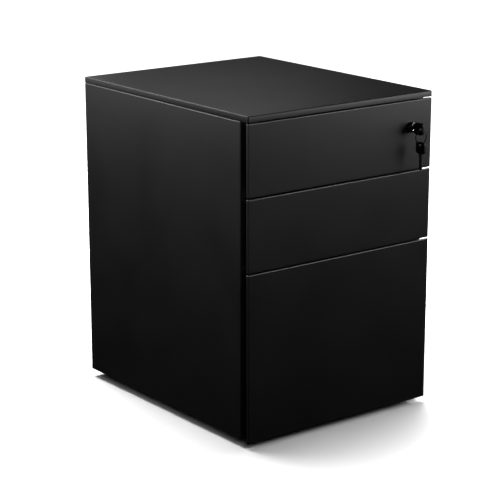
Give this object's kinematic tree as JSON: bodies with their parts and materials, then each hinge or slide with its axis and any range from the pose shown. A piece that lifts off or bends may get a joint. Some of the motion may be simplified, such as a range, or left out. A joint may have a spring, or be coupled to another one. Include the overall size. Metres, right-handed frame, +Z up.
{
  "type": "rolling pedestal cabinet",
  "caption": "Black powder-coated steel under-desk pedestal cabinet on hidden casters, with full-width drawers, side finger grips, and a central lock with keys on a split ring.",
  "frame": {"origin": "on the floor, in the middle of the bounding box", "axes": "+Z up, -Y towards the user, whom the drawer fronts face, +X to the right as seen from the front"},
  "size_m": [0.41, 0.5364, 0.583],
  "materials": {
    "black_powder_coat": "satin black powder coat with a fine texture",
    "zinc_steel": "zinc plated, semi-bright",
    "lock_black_nickel": "black nickel, polished",
    "key_steel": "nickel plated, with a black plastic head",
    "black_plastic": "matt moulded nylon",
    "wheel_tread": "matt soft tread",
    "cast_iron": "raw, dull"
  },
  "bodies": {
    "cabinet": {"cabinet_wrap": "black_powder_coat", "top_plate": "black_powder_coat", "base_pan": "black_powder_coat", "counterweight": "cast_iron", "lock_bar_rivet_1": "zinc_steel", "lock_bar_rivet_2": "zinc_steel", "slide_post_front_left": "zinc_steel", "slide_post_front_right": "zinc_steel", "slide_post_rear_left": "zinc_steel", "slide_post_rear_right": "zinc_steel", "drawer_1_slide_left_outer": "zinc_steel", "drawer_1_slide_right_outer": "zinc_steel", "drawer_2_slide_left_outer": "zinc_steel", "drawer_2_slide_right_outer": "zinc_steel", "drawer_3_slide_left_outer": "zinc_steel", "drawer_3_slide_right_outer": "zinc_steel", "caster_front_left_plate": "zinc_steel", "caster_front_right_plate": "zinc_steel", "caster_rear_left_plate": "zinc_steel", "caster_rear_right_plate": "zinc_steel"},
    "drawer_1": {"drawer_1_front": "black_powder_coat", "drawer_1_inner_front": "black_powder_coat", "drawer_1_box": "black_powder_coat", "drawer_1_slide_left_inner": "zinc_steel", "drawer_1_slide_right_inner": "zinc_steel", "lock_housing": "lock_black_nickel", "lock_nut": "zinc_steel"},
    "drawer_1_slide_middles": {"drawer_1_slide_left_middle": "zinc_steel", "drawer_1_slide_right_middle": "zinc_steel"},
    "drawer_2": {"drawer_2_front": "black_powder_coat", "drawer_2_inner_front": "black_powder_coat", "drawer_2_box": "black_powder_coat", "drawer_2_slide_left_inner": "zinc_steel", "drawer_2_slide_right_inner": "zinc_steel"},
    "drawer_2_slide_middles": {"drawer_2_slide_left_middle": "zinc_steel", "drawer_2_slide_right_middle": "zinc_steel"},
    "drawer_3": {"drawer_3_front": "black_powder_coat", "drawer_3_inner_front": "black_powder_coat", "drawer_3_box": "black_powder_coat", "drawer_3_slide_left_inner": "zinc_steel", "drawer_3_slide_right_inner": "zinc_steel", "drawer_3_file_rail_left": "zinc_steel", "drawer_3_file_rail_right": "zinc_steel"},
    "drawer_3_slide_middles": {"drawer_3_slide_left_middle": "zinc_steel", "drawer_3_slide_right_middle": "zinc_steel"},
    "lock_plug": {"lock_plug": "lock_black_nickel", "lock_cam": "zinc_steel"},
    "lock_bar": {"lock_bar": "zinc_steel"},
    "key_in_lock": {"key_in_lock": "key_steel"},
    "key_ring": {"key_ring": "lock_black_nickel"},
    "key_spare": {"key_spare": "key_steel"},
    "caster_front_left_swivel": {"caster_front_left_body": "black_plastic"},
    "caster_front_left_wheels": {"caster_front_left_wheels": "wheel_tread"},
    "caster_front_right_swivel": {"caster_front_right_body": "black_plastic"},
    "caster_front_right_wheels": {"caster_front_right_wheels": "wheel_tread"},
    "caster_rear_left_swivel": {"caster_rear_left_body": "black_plastic"},
    "caster_rear_left_wheels": {"caster_rear_left_wheels": "wheel_tread"},
    "caster_rear_right_swivel": {"caster_rear_right_body": "black_plastic"},
    "caster_rear_right_wheels": {"caster_rear_right_wheels": "wheel_tread"}
  },
  "joints": [
    {"name": "drawer_1_slide", "type": "slide", "parent": "cabinet", "child": "drawer_1", "axis": [0, -1, 0], "range_m": [0, 0.36]},
    {"name": "drawer_1_middles_slide", "type": "slide", "parent": "cabinet", "child": "drawer_1_slide_middles", "axis": [0, -1, 0], "range_m": [0, 0.18]},
    {"name": "drawer_2_slide", "type": "slide", "parent": "cabinet", "child": "drawer_2", "axis": [0, -1, 0], "range_m": [0, 0.36]},
    {"name": "drawer_2_middles_slide", "type": "slide", "parent": "cabinet", "child": "drawer_2_slide_middles", "axis": [0, -1, 0], "range_m": [0, 0.18]},
    {"name": "drawer_3_slide", "type": "slide", "parent": "cabinet", "child": "drawer_3", "axis": [0, -1, 0], "range_m": [0, 0.42]},
    {"name": "drawer_3_middles_slide", "type": "slide", "parent": "cabinet", "child": "drawer_3_slide_middles", "axis": [0, -1, 0], "range_m": [0, 0.21]},
    {"name": "lock_bar_slide", "type": "slide", "parent": "cabinet", "child": "lock_bar", "axis": [0, 0, -1], "range_m": [0, 0.008]},
    {"name": "lock_turn", "type": "hinge", "parent": "drawer_1", "child": "lock_plug", "pos_m": [0.155, -0.22975, 0.523], "axis": [0, 1, 0], "range_deg": [0, 90]},
    {"name": "key_pull", "type": "slide", "parent": "lock_plug", "child": "key_in_lock", "axis": [0, -1, 0], "range_m": [0, 0.03]},
    {"name": "key_ring_swing", "type": "hinge", "parent": "key_in_lock", "child": "key_ring", "pos_m": [0.155, -0.25725, 0.5215], "axis": [1, 0, 0], "range_deg": [-45, 8]},
    {"name": "key_spare_hang", "type": "hinge", "parent": "key_ring", "child": "key_spare", "pos_m": [0.155, -0.25725, 0.5093], "axis": [0, 1, 0], "range_deg": [-90, 0]},
    {"name": "caster_front_left_swivel", "type": "hinge", "parent": "cabinet", "child": "caster_front_left_swivel", "pos_m": [-0.15, -0.14975, 0.05], "axis": [0, 0, 1], "continuous": true},
    {"name": "caster_front_left_roll", "type": "hinge", "parent": "caster_front_left_swivel", "child": "caster_front_left_wheels", "pos_m": [-0.15, -0.13475, 0.02], "axis": [1, 0, 0], "continuous": true},
    {"name": "caster_front_right_swivel", "type": "hinge", "parent": "cabinet", "child": "caster_front_right_swivel", "pos_m": [0.15, -0.14975, 0.05], "axis": [0, 0, 1], "continuous": true},
    {"name": "caster_front_right_roll", "type": "hinge", "parent": "caster_front_right_swivel", "child": "caster_front_right_wheels", "pos_m": [0.15, -0.13475, 0.02], "axis": [1, 0, 0], "continuous": true},
    {"name": "caster_rear_left_swivel", "type": "hinge", "parent": "cabinet", "child": "caster_rear_left_swivel", "pos_m": [-0.15, 0.20025, 0.05], "axis": [0, 0, 1], "continuous": true},
    {"name": "caster_rear_left_roll", "type": "hinge", "parent": "caster_rear_left_swivel", "child": "caster_rear_left_wheels", "pos_m": [-0.15, 0.21525, 0.02], "axis": [1, 0, 0], "continuous": true},
    {"name": "caster_rear_right_swivel", "type": "hinge", "parent": "cabinet", "child": "caster_rear_right_swivel", "pos_m": [0.15, 0.20025, 0.05], "axis": [0, 0, 1], "continuous": true},
    {"name": "caster_rear_right_roll", "type": "hinge", "parent": "caster_rear_right_swivel", "child": "caster_rear_right_wheels", "pos_m": [0.15, 0.21525, 0.02], "axis": [1, 0, 0], "continuous": true}
  ],
  "couplings": [
    {"joint": "drawer_1_middles_slide", "follows": "drawer_1_slide", "ratio": 0.5},
    {"joint": "drawer_2_middles_slide", "follows": "drawer_2_slide", "ratio": 0.5},
    {"joint": "drawer_3_middles_slide", "follows": "drawer_3_slide", "ratio": 0.5},
    {"joint": "lock_turn", "follows": "lock_bar_slide", "rad_per_m": 196.3},
    {"joint": "key_spare_hang", "follows": "lock_bar_slide", "rad_per_m": -196.3}
  ]
}
